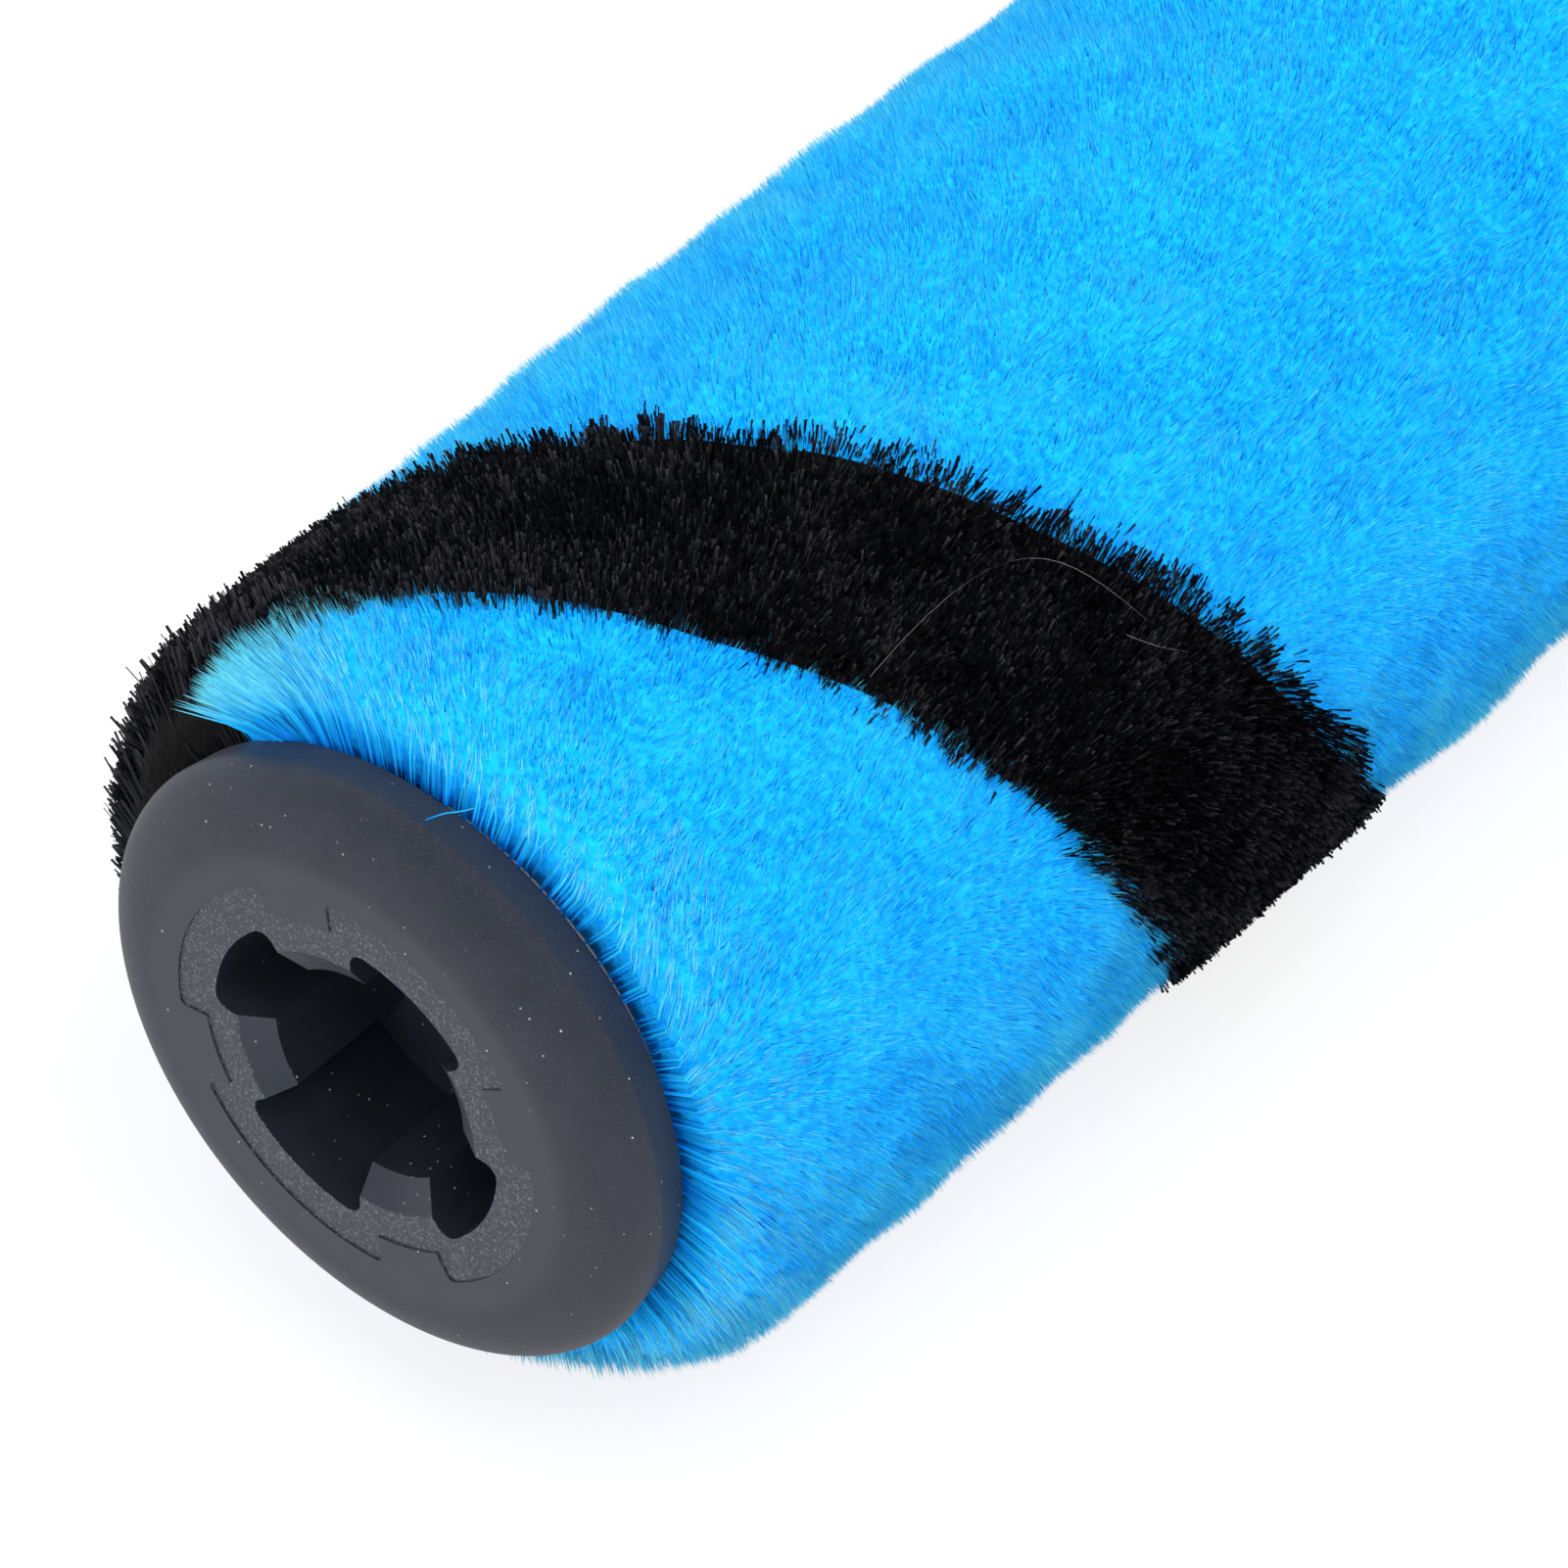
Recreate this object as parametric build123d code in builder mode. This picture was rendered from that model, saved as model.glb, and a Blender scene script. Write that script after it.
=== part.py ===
from build123d import *
from math import radians, tan
import os

# Soft roller brush for a vacuum cleaner head, in millimetres.
# The roller's axis is the X axis, the drive face is at x = 0, the idle end is at +X and +Z is up.
# It lies on its side, on a small flat spot pressed into the soft pile.

# Roller
roller_length = 225.0
tube_radius = 17.5
tube_wall = 1.6

# Pile strips, wound side by side round the tube as right-handed helices
plush_radius = 24.9
bristle_proud = 0.5
winding_pitch_length = 90.0
winding_turn = -6.0
bristle_width = 17.8
strip_seam = 0.15
band_over = 1.0
glue_line = 0.1
pile_end_gap = 0.2
pile_end_share = 0.75
rest_flat_depth = 0.45

# Rim that both end caps share
rim_radius = 19.0
face_flat_radius = 14.0
face_to_parting = 3.0
rim_wall = 2.0
rim_draft = 0.3
rim_underside = 0.3

# Spigots that plug into the tube
spigot_length = 14.0
spigot_wall = 2.0
spigot_fit = 0.05
spigot_lead_in = 0.6
key_width = 4.0
key_depth = 3.0
key_setback = 0.4
key_fit = 0.1
key_count = 2
rib_count = 8
rib_thickness = 1.2
rib_setback = 2.0
face_wall = 2.4

# Drive socket
lobe_count = 4
lobe_turn = 26.0
lobe_angle = 52.0
lobe_radius = 10.0
lobe_corner = 0.9
tooth_tip_radius = 6.65
lead_in_radius = 8.5
lead_in_depth = 1.15
socket_depth = 10.0
socket_wall = 2.0
pilot_radius = 4.5
pilot_depth = 7.0
patch_radius = 12.6
patch_angle = 66.0
patch_waist_radius = 10.7
patch_corner = 0.4
patch_depth = 0.1

# Idle end: recess, hub and stub axle
recess_radius = 12.2
recess_depth = 4.0
hub_radius = 6.0
axle_radius = 2.5
axle_seat = 16.0
axle_chamfer = 0.4
axle_tail = 1.4
hub_end_wall = 2.0
press_fit = 0.02
spacer_radius = 4.2
spacer_thickness = 1.0
felt_bore_radius = 8.6
felt_thickness = 0.7
felt_fit = 0.05

# Ball bearing
bearing_radius = 8.0
bearing_width = 5.0
ball_count = 7
ball_radius = 1.4
ball_pitch_radius = 5.25
ball_clearance = 0.12
race_half_gap = 0.9
ring_chamfer = 0.25
cage_half_thickness = 0.55
cage_back = 1.85
cage_front = 0.9
cage_pocket_clearance = 0.06
shield_thickness = 0.3
shield_recess = 0.15
shield_step = 0.35
shield_gap = 0.3

# Clip that keeps the bearing on the axle
clip_radius = 4.5
clip_thickness = 0.6
clip_groove_radius = 2.0
clip_fit = 0.05
clip_mouth = 3.2
clip_notch_radius = 0.7
clip_notch_angle = 120.0

# Bearing holder, which stays still in the cleaner head
holder_radius = 10.5
holder_shoulder_radius = 7.0
holder_air = 0.8
holder_end_wall = 2.2
holder_chamfer = 0.6
boss_radius = 8.0
boss_length = 6.0
boss_flat = 6.8
boss_chamfer = 0.5

# Places along the axis that follow from the sizes above
rim_back = face_to_parting + rim_wall + rim_underside
tube_bore_radius = tube_radius - tube_wall
tube_length = roller_length - 2 * rim_back
spigot_radius = tube_bore_radius - spigot_fit
spigot_end = rim_back + spigot_length
well_radius = lobe_radius + socket_wall
pile_start = rim_back + pile_end_gap
pile_end = roller_length - pile_start
pile_bore_radius = tube_radius + glue_line
pile_end_round = pile_end_share * (plush_radius - pile_bore_radius)
rest_height = plush_radius - rest_flat_depth
bristle_half_angle = 180 * bristle_width / winding_pitch_length
plush_first_angle = bristle_half_angle + 360 * strip_seam / winding_pitch_length
recess_floor = roller_length - recess_depth
bearing_back = recess_floor + spacer_thickness
bearing_middle = bearing_back + bearing_width / 2
bearing_front = bearing_back + bearing_width
clip_back = bearing_front + clip_fit
axle_end = clip_back + clip_thickness + axle_tail
holder_floor = axle_end + holder_air
holder_end = holder_floor + holder_end_wall
inner_race_radius = ball_pitch_radius - race_half_gap
outer_race_radius = ball_pitch_radius + race_half_gap

# The pile's flat spot lies in this plane
rest_plane = Plane.XY.offset(-rest_height)

# The idle cap is drawn from its own face inwards, like the drive cap
idle_plane = Plane(origin=(roller_length, 0, 0), x_dir=(-1, 0, 0), z_dir=(0, 0, -1))

os.makedirs("parts", exist_ok=True)


def finish(builder, name):
    """Names a finished piece and writes it."""
    builder.part.label = name
    export_step(builder.part, f"parts/{name}.step")


def rim_outline(face_start):
    """Draws the rounded rim from the flat face to the spigot's root, and returns the open line's end."""
    Line(face_start, (0, face_flat_radius))
    EllipticalCenterArc(
        center=(face_to_parting, face_flat_radius),
        x_radius=face_to_parting,
        y_radius=rim_radius - face_flat_radius,
        start_angle=90,
        arc_size=90,
    )
    wall_end = (face_to_parting + rim_wall, rim_radius - rim_draft)
    Line((face_to_parting, rim_radius), wall_end)
    underside = (rim_back, rim_radius - rim_draft - rim_underside)
    Line(wall_end, underside)
    root = (rim_back, spigot_radius)
    Line(underside, root)
    return root


def spigot_outline(root, web_back):
    """Draws the spigot's section from its root to the web behind the face, and returns the line's end."""
    inner_radius = spigot_radius - spigot_wall
    end = Polyline(
        root,
        (spigot_end - spigot_lead_in, spigot_radius),
        (spigot_end, spigot_radius - spigot_lead_in),
        (spigot_end, inner_radius),
        (web_back, inner_radius),
    )
    return end @ 1


def lobed_outline(outer_radius, waist_radius, angle, corner):
    """Draws fan-shaped lobes round a circle into the sketch that is open."""
    reach = 2 * outer_radius
    half_tooth = radians(180 / lobe_count - angle / 2)
    Circle(outer_radius)
    with PolarLocations(0, lobe_count, start_angle=lobe_turn + 180 / lobe_count):
        Polygon(
            (0, 0),
            (reach, -reach * tan(half_tooth)),
            (reach, reach * tan(half_tooth)),
            align=None,
            mode=Mode.SUBTRACT,
        )
    fillet(vertices().group_by(SortBy.DISTANCE)[-1], corner)
    Circle(waist_radius)


def wound_band(inner_radius, outer_radius, first_angle, last_angle, over):
    """Makes the helical band between these radii and angles, which runs past the pile's ends by over."""
    start = pile_start - over
    length = pile_end - pile_start + 2 * over
    start_angle = winding_turn + 360 * start / winding_pitch_length + first_angle
    with BuildSketch(Plane.YZ.offset(start)) as sector:
        with BuildLine():
            outside = CenterArc((0, 0), outer_radius, start_angle, last_angle - first_angle)
            inside = CenterArc((0, 0), inner_radius, start_angle, last_angle - first_angle)
            Line(outside @ 0, inside @ 0)
            Line(outside @ 1, inside @ 1)
        make_face()
    return Solid.extrude_linear_with_rotation(
        sector.sketch.face(),
        center=(start, 0, 0),
        normal=(length, 0, 0),
        angle=360 * length / winding_pitch_length,
    )


def cut_keyways(end_x, inwards):
    """Cuts the notches in one end of the tube that take a cap's keys."""
    with BuildSketch(Plane.YZ.offset(end_x)) as keyways:
        with PolarLocations(tube_radius, key_count, start_angle=90):
            Rectangle(3 * tube_wall, key_width)
    extrude(keyways.sketch, amount=inwards * key_depth, mode=Mode.SUBTRACT)


def add_keys(root_x, inwards):
    """Adds the keys on a spigot's root that turn the tube with the cap."""
    key_outer = tube_radius - key_setback
    key_inner = spigot_radius - spigot_wall / 2
    with BuildSketch(Plane.YZ.offset(root_x)) as keys:
        with PolarLocations((key_outer + key_inner) / 2, key_count, start_angle=90):
            Rectangle(key_outer - key_inner, key_width - 2 * key_fit)
    extrude(keys.sketch, amount=inwards * (key_depth - key_fit))


def add_ribs(web_x, inwards, inner_radius):
    """Adds the radial ribs between a cap's middle and its spigot."""
    outer = spigot_radius - spigot_wall / 2
    inner = inner_radius - rib_thickness / 2
    rib_length = spigot_length + rim_back - face_wall - rib_setback
    with BuildSketch(Plane.YZ.offset(web_x)) as ribs:
        with PolarLocations((outer + inner) / 2, rib_count, start_angle=180 / rib_count):
            Rectangle(outer - inner, rib_thickness)
    extrude(ribs.sketch, amount=inwards * rib_length)


# Core tube, with keyways in both ends
with BuildPart() as core_tube:
    with BuildSketch(Plane.YZ.offset(rim_back)):
        Circle(tube_radius)
        Circle(tube_bore_radius, mode=Mode.SUBTRACT)
    extrude(amount=tube_length)
    cut_keyways(rim_back, 1)
    cut_keyways(rim_back + tube_length, -1)
finish(core_tube, "core_tube")

# Blue plush strip: the pile's sleeve, without the gap for the bristles and a seam on each side of them
plush_band = wound_band(
    pile_bore_radius - band_over,
    plush_radius + band_over,
    plush_first_angle,
    360 - plush_first_angle,
    band_over,
)
with BuildPart() as plush_strip:
    with BuildSketch(Plane.YZ.offset(pile_start)):
        Circle(plush_radius)
        Circle(pile_bore_radius, mode=Mode.SUBTRACT)
    extrude(amount=pile_end - pile_start)
    add(plush_band, mode=Mode.INTERSECT)
    fillet(edges().filter_by(GeomType.CIRCLE).group_by(SortBy.RADIUS)[-1], pile_end_round)
    split(bisect_by=rest_plane, keep=Keep.TOP)
finish(plush_strip, "plush_strip")

# Black bristle strip, which stands a little proud of the plush
bristle_radius = plush_radius + bristle_proud
bristle_band = wound_band(pile_bore_radius, bristle_radius, -bristle_half_angle, bristle_half_angle, 0)
with BuildPart() as bristle_strip:
    add(bristle_band)
    end_faces = (faces().sort_by(Axis.X)[0], faces().sort_by(Axis.X)[-1])
    fillet([face.edges().sort_by(SortBy.LENGTH)[-1] for face in end_faces], pile_end_round)
    split(bisect_by=rest_plane, keep=Keep.TOP)
finish(bristle_strip, "bristle_strip")

# Drive end cap: rim, spigot, ribs and the blind well behind the socket
with BuildPart() as drive_end_cap:
    with BuildSketch(Plane.XY):
        with BuildLine():
            spigot_root = rim_outline((0, 0))
            web = spigot_outline(spigot_root, face_wall)
            well_end = socket_depth + socket_wall
            pilot_end = socket_depth + pilot_depth + socket_wall
            pilot_boss_radius = pilot_radius + socket_wall
            Polyline(
                web,
                (face_wall, well_radius),
                (well_end, well_radius),
                (well_end, pilot_boss_radius),
                (pilot_end, pilot_boss_radius),
                (pilot_end, 0),
                (0, 0),
            )
        make_face()
    revolve(axis=Axis.X)
    add_ribs(face_wall, 1, well_radius)
    add_keys(rim_back, 1)
    with BuildSketch(Plane.YZ):
        lobed_outline(patch_radius, patch_waist_radius, patch_angle, patch_corner)
    extrude(amount=patch_depth, mode=Mode.SUBTRACT)
    with BuildSketch(Plane.YZ):
        lobed_outline(lobe_radius, tooth_tip_radius, lobe_angle, lobe_corner)
    extrude(amount=socket_depth, mode=Mode.SUBTRACT)
    with BuildSketch(Plane.XY):
        with BuildLine():
            lead_in_floor = patch_depth + lead_in_depth
            Polyline(
                (patch_depth, 0),
                (patch_depth, lead_in_radius),
                (lead_in_floor, tooth_tip_radius),
                (lead_in_floor, 0),
                close=True,
            )
        make_face()
    revolve(axis=Axis.X, mode=Mode.SUBTRACT)
    with BuildSketch(Plane.YZ.offset(socket_depth)):
        Circle(pilot_radius)
    extrude(amount=pilot_depth, mode=Mode.SUBTRACT)
finish(drive_end_cap, "drive_end_cap")

# Idle end cap: the same rim and spigot, a recess for the bearing holder and a hub for the axle
with BuildPart() as idle_end_cap:
    web_back = recess_depth + face_wall
    hub_end = recess_depth + axle_seat + hub_end_wall
    with BuildSketch(idle_plane):
        with BuildLine():
            spigot_root = rim_outline((0, recess_radius))
            web = spigot_outline(spigot_root, web_back)
            Polyline(
                web,
                (web_back, hub_radius),
                (hub_end, hub_radius),
                (hub_end, 0),
                (recess_depth + axle_seat, 0),
                (recess_depth + axle_seat, axle_radius + press_fit),
                (recess_depth, axle_radius + press_fit),
                (recess_depth, recess_radius),
                (0, recess_radius),
            )
        make_face()
    revolve(axis=Axis.X)
    add_ribs(roller_length - web_back, -1, hub_radius)
    add_keys(roller_length - rim_back, -1)
finish(idle_end_cap, "idle_end_cap")

# Stub axle with the clip's groove
with BuildPart() as axle_pin:
    axle_start = recess_floor - axle_seat
    with BuildSketch(Plane.YZ.offset(axle_start)):
        Circle(axle_radius)
    extrude(amount=axle_end - axle_start)
    chamfer(edges().group_by(Axis.X)[0], axle_chamfer)
    chamfer(edges().group_by(Axis.X)[-1], axle_chamfer)
    with BuildSketch(Plane.YZ.offset(bearing_front)):
        Circle(axle_radius)
        Circle(clip_groove_radius, mode=Mode.SUBTRACT)
    extrude(amount=clip_thickness + 2 * clip_fit, mode=Mode.SUBTRACT)
finish(axle_pin, "axle_pin")

# Spacer between the hub and the bearing's inner ring
with BuildPart() as spacer_washer:
    with BuildSketch(Plane.YZ.offset(recess_floor)):
        Circle(spacer_radius)
        Circle(axle_radius + press_fit, mode=Mode.SUBTRACT)
    extrude(amount=spacer_thickness)
finish(spacer_washer, "spacer_washer")

# Felt ring on the recess floor
with BuildPart() as felt_seal:
    with BuildSketch(Plane.YZ.offset(recess_floor)):
        Circle(recess_radius - felt_fit)
        Circle(felt_bore_radius, mode=Mode.SUBTRACT)
    extrude(amount=felt_thickness)
finish(felt_seal, "felt_seal")

# Bearing rings, each with its ball groove
with BuildPart() as bearing_inner_ring:
    with BuildSketch(Plane.XY):
        with Locations((bearing_middle, (axle_radius + press_fit + inner_race_radius) / 2)):
            Rectangle(bearing_width, inner_race_radius - axle_radius - press_fit)
        chamfer(vertices().group_by(Axis.Y)[0], ring_chamfer)
        with Locations((bearing_middle, ball_pitch_radius)):
            Circle(ball_radius + ball_clearance, mode=Mode.SUBTRACT)
    revolve(axis=Axis.X)
finish(bearing_inner_ring, "bearing_inner_ring")

with BuildPart() as bearing_outer_ring:
    shield_seat = shield_recess + shield_thickness
    with BuildSketch(Plane.XY):
        with Locations((bearing_middle, (outer_race_radius + bearing_radius) / 2)):
            Rectangle(bearing_width, bearing_radius - outer_race_radius)
        chamfer(vertices().group_by(Axis.Y)[-1], ring_chamfer)
        with Locations((bearing_middle, ball_pitch_radius)):
            Circle(ball_radius + ball_clearance, mode=Mode.SUBTRACT)
        with Locations((bearing_back, outer_race_radius)):
            Rectangle(2 * shield_seat, 2 * shield_step, mode=Mode.SUBTRACT)
        with Locations((bearing_front, outer_race_radius)):
            Rectangle(2 * shield_seat, 2 * shield_step, mode=Mode.SUBTRACT)
    revolve(axis=Axis.X)
finish(bearing_outer_ring, "bearing_outer_ring")

# Balls
with BuildPart() as bearing_balls:
    with Locations(Plane.YZ.offset(bearing_middle)):
        with PolarLocations(ball_pitch_radius, ball_count):
            Sphere(ball_radius)
finish(bearing_balls, "bearing_balls")

# Crown cage: a ring behind the balls with pockets that are open towards the axle's end
with BuildPart() as bearing_cage:
    with BuildSketch(Plane.YZ.offset(bearing_middle - cage_back)):
        Circle(ball_pitch_radius + cage_half_thickness)
        Circle(ball_pitch_radius - cage_half_thickness, mode=Mode.SUBTRACT)
    extrude(amount=cage_back + cage_front)
    with Locations(Plane.YZ.offset(bearing_middle)):
        with PolarLocations(ball_pitch_radius, ball_count):
            Sphere(ball_radius + cage_pocket_clearance, mode=Mode.SUBTRACT)
finish(bearing_cage, "bearing_cage")


def make_shield(outer_face, inwards):
    """Makes one thin shield, seated on the outer ring's step and clear of the inner ring."""
    with BuildPart() as shield:
        with BuildSketch(Plane.YZ.offset(outer_face + inwards * shield_recess)):
            Circle(outer_race_radius + shield_step - press_fit)
            Circle(inner_race_radius + shield_gap, mode=Mode.SUBTRACT)
        extrude(amount=inwards * shield_thickness)
    return shield


bearing_inner_shield = make_shield(bearing_back, 1)
finish(bearing_inner_shield, "bearing_inner_shield")
bearing_outer_shield = make_shield(bearing_front, -1)
finish(bearing_outer_shield, "bearing_outer_shield")

# Retaining clip with its open mouth and two relief notches
with BuildPart() as retaining_clip:
    with BuildSketch(Plane.YZ.offset(clip_back)):
        Circle(clip_radius)
        Circle(clip_groove_radius + clip_fit, mode=Mode.SUBTRACT)
        with Locations((clip_radius, 0)):
            Rectangle(2 * clip_radius, clip_mouth, mode=Mode.SUBTRACT)
        for angle in (clip_notch_angle, -clip_notch_angle):
            with PolarLocations(clip_groove_radius + clip_fit, 1, start_angle=angle):
                Circle(clip_notch_radius, mode=Mode.SUBTRACT)
    extrude(amount=clip_thickness)
finish(retaining_clip, "retaining_clip")

# Bearing holder: a cup for the outer ring with a D-shaped boss on its closed end
with BuildPart() as bearing_holder:
    with BuildSketch(Plane.XY):
        with BuildLine():
            Polyline(
                (bearing_back, bearing_radius + press_fit),
                (bearing_back, holder_radius - holder_chamfer),
                (bearing_back + holder_chamfer, holder_radius),
                (holder_end - holder_chamfer, holder_radius),
                (holder_end, holder_radius - holder_chamfer),
                (holder_end, 0),
                (holder_floor, 0),
                (holder_floor, holder_shoulder_radius),
                (bearing_front, holder_shoulder_radius),
                (bearing_front, bearing_radius + press_fit),
                close=True,
            )
        make_face()
    revolve(axis=Axis.X)
    with BuildSketch(Plane.YZ.offset(holder_end)):
        Circle(boss_radius)
        with Locations((0, boss_flat)):
            Rectangle(2 * boss_radius, boss_radius, align=(Align.CENTER, Align.MIN), mode=Mode.SUBTRACT)
    extrude(amount=boss_length)
    chamfer(faces().sort_by(Axis.X)[-1].edges(), boss_chamfer)
finish(bearing_holder, "bearing_holder")
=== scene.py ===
from math import cos, pi, radians, sin, sqrt

import bpy
import numpy as np
from mathutils import Matrix, Vector


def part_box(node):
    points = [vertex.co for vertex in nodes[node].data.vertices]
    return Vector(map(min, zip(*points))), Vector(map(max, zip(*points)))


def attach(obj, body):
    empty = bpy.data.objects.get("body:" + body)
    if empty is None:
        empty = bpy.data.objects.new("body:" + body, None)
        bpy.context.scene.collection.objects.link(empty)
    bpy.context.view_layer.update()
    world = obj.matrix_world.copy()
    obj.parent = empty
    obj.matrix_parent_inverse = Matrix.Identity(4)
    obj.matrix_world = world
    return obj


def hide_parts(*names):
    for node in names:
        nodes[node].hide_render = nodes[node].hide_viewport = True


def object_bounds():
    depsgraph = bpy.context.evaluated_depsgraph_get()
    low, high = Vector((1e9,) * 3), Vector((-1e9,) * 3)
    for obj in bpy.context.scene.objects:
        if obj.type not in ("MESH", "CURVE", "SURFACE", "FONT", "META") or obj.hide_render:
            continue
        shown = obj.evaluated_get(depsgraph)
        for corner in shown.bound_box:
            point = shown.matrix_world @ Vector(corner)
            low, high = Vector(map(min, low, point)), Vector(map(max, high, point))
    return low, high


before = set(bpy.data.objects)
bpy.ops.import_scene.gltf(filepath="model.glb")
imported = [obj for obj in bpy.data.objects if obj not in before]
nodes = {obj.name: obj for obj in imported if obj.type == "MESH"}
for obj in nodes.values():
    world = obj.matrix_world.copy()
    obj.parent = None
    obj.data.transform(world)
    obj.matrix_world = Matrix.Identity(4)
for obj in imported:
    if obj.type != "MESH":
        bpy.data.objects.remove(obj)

# Dressing of the soft roller brush, in metres. The roller's axis is X and its drive face is at x = 0.
# Each strip is a closed body under a coat of separate fibres, with long fibres fanned out at both ends.

cad_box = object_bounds()
rng = np.random.default_rng(20)
MM = 0.001

plush_low, plush_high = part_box("plush_strip")
FLOOR = cad_box[0].z
PILE_START = plush_low.x
PILE_END = plush_high.x
PLUSH_RADIUS = plush_high.y
BRISTLE_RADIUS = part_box("bristle_strip")[1].y
TUBE_RADIUS = 17.6 * MM
PILE_END_ROUND = 0.75 * (PLUSH_RADIUS - TUBE_RADIUS)

# Winding, as on the solids: the band's middle line is this far round from +Y at the drive face
WINDING_LEAD = 90 * MM
WINDING_TURN = radians(-6)
BRISTLE_WIDTH = 17.8 * MM

# Fibres of the coat: how many, how deep they show, how thick they are, how large their tufts are,
# how strongly tufts draw their tips together, and how much single fibres lean and face their own way
COAT_COUNT = 790000
COAT_INSET = 1.5 * MM
PLUSH_DEPTH = 2.0 * MM
PLUSH_THICK = 0.15 * MM
PLUSH_TUFT = 0.8 * MM
BRISTLE_DEPTH = 2.6 * MM
BRISTLE_THICK = 0.15 * MM
BRISTLE_TUFT = 1.0 * MM
COAT_DRAW = 0.6
LEAN_SCATTER = 0.1
FACING_SCATTER = 0.22
TIP_OVERHANG = 0.8 * MM

# Closed bodies: how far they stay under the tips and inside the pile's ends, how deep they are at least,
# and how much narrower than its band the black one is at each edge, so that blue shows between the bristles
BODY_UNDER = 0.9 * MM
BODY_INSET = 0.5 * MM
BODY_LEAST = 0.3 * MM
BAND_LAP = 0.8 * MM

# Clearances from the floor, where the roller's weight presses the pile flat
BODY_CLEAR = 0.6 * MM
ROOT_CLEAR = 0.4 * MM
TIP_CLEAR = 0.1 * MM

# How far the tips lie under the solids' radii, and how high the waves in them are
PLUSH_SINK = 0.15 * MM
PLUSH_SWELL = 0.2 * MM
PLUSH_MOTTLE = 0.14 * MM
BRISTLE_SINK = 0.5 * MM
BRISTLE_WAVES = 0.1 * MM

# The band's edge: short waves, long waves, the scatter of single bristles and the width that leans
EDGE_SHORT = 0.5 * MM
EDGE_LONG = 0.25 * MM
EDGE_SCATTER = 0.35 * MM
EDGE_ZONE = 1.5 * MM

# Tones: what a fibre's tuft and its neighbourhood add to its own
TUFT_TONE = 0.4
MOTTLE_TONE = 0.09
SWELL_TONE = 0.06

# The pile is combed back round the roller about this turn
NAP_LEAN = 0.6
NAP_TURN = radians(150)
NAP_SPREAD = radians(22)

# Fans of long fibres at both ends: soft ones bow over the rounded edge, stiff ones stand nearly straight
FAN_COUNT = 10000
FAN_TUFT = 1.6 * MM
FAN_DRAW = 0.75
FAN_ROOT_FIRST = 0.2 * MM
FAN_ROOT_DEPTH = 5.2 * MM
FAN_BAND_DEPTH = 2 * MM
FAN_BEND = 0.6
FAN_LOOSE = 0.7 * MM
FAN_WANDER = 0.25 * MM
SOFT_BOW = radians(24)
SOFT_UNEVEN = 0.15 * MM
STIFF_BOW = radians(50)
STIFF_UNEVEN = 0.45 * MM

# The plush's corner at the drive end, where it has splayed forward over the cap's rim
SPLAY_COUNT = 1300
SPLAY_LIFT = 1.6 * MM
SPLAY_TURN = radians(60)
SPLAY_SPREAD = radians(8)
SPLAY_REACH = 4.4 * MM

# Camera, fitted to the photo's frame of 1601 by 1601 pixels
CAMERA_AZIMUTH = radians(-50.6)
CAMERA_ELEVATION = radians(43.0)
CAMERA_LENS = 220.4
CAP_CENTRE = Vector((3 * MM, 0, 0))
CAP_DISTANCE = 515 * MM
CAP_RIGHT = -21.1 * MM
CAP_UP = -14.6 * MM

# Light: the way to the photographer, who darkens the room, and the soft boxes
PHOTOGRAPHER = (-0.45, -0.38, 0.81)
LAMP_SIZE = 0.8
LAMP_TARGET = (40 * MM, 0, 0)


# Helpers for node materials

def new_material(name):
    """Makes an empty node material and returns it with its tree and output."""
    material = bpy.data.materials.new(name)
    material.use_nodes = True
    tree = material.node_tree
    tree.nodes.clear()
    output = tree.nodes.new("ShaderNodeOutputMaterial")
    return material, tree, output


def node(tree, kind, settings=None, **inputs):
    """Adds a node, sets its properties, and sets or links its inputs by name or number."""
    made = tree.nodes.new(kind)
    for key, value in (settings or {}).items():
        setattr(made, key, value)
    for key, value in inputs.items():
        socket = made.inputs[int(key[1:])] if key[0] == "i" and key[1:].isdigit() else made.inputs[key]
        if isinstance(value, bpy.types.NodeSocket):
            tree.links.new(value, socket)
        else:
            socket.default_value = value
    return made


def math_node(tree, operation, a, b=0.0):
    """Adds a math node and returns its result."""
    return node(tree, "ShaderNodeMath", {"operation": operation}, i0=a, i1=b).outputs[0]


def step_up(tree, value, low, high):
    """A number that goes smoothly from 0 to 1 as the value goes from low to high."""
    made = node(tree, "ShaderNodeMapRange", {"interpolation_type": "SMOOTHSTEP"}, Value=value)
    made.inputs["From Min"].default_value = low
    made.inputs["From Max"].default_value = high
    return made.outputs[0]


def ramp(tree, value, stops):
    """Adds a colour ramp through (position, colour) stops and returns its colour."""
    made = node(tree, "ShaderNodeValToRGB", None, Fac=value)
    elements = made.color_ramp.elements
    while len(elements) < len(stops):
        elements.new(0.5)
    for element, (position, colour) in zip(elements, stops):
        element.position = position
        element.color = (*colour, 1)
    return made.outputs["Color"]


def mix_colour(tree, factor, a, b, blend="MIX"):
    """Mixes two colours and returns the result."""
    made = tree.nodes.new("ShaderNodeMix")
    made.data_type = "RGBA"
    made.blend_type = blend
    for socket, value in ((made.inputs[0], factor), (made.inputs[6], a), (made.inputs[7], b)):
        if isinstance(value, bpy.types.NodeSocket):
            tree.links.new(value, socket)
        elif isinstance(value, (tuple, list)):
            socket.default_value = (*value, 1)
        else:
            socket.default_value = value
    return made.outputs[2]


def noise(tree, place, size, detail=2.0):
    """Noise with features of about this size in metres."""
    made = node(tree, "ShaderNodeTexNoise", None, Vector=place, Scale=1 / size, Detail=detail)
    return made.outputs["Fac"]


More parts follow.
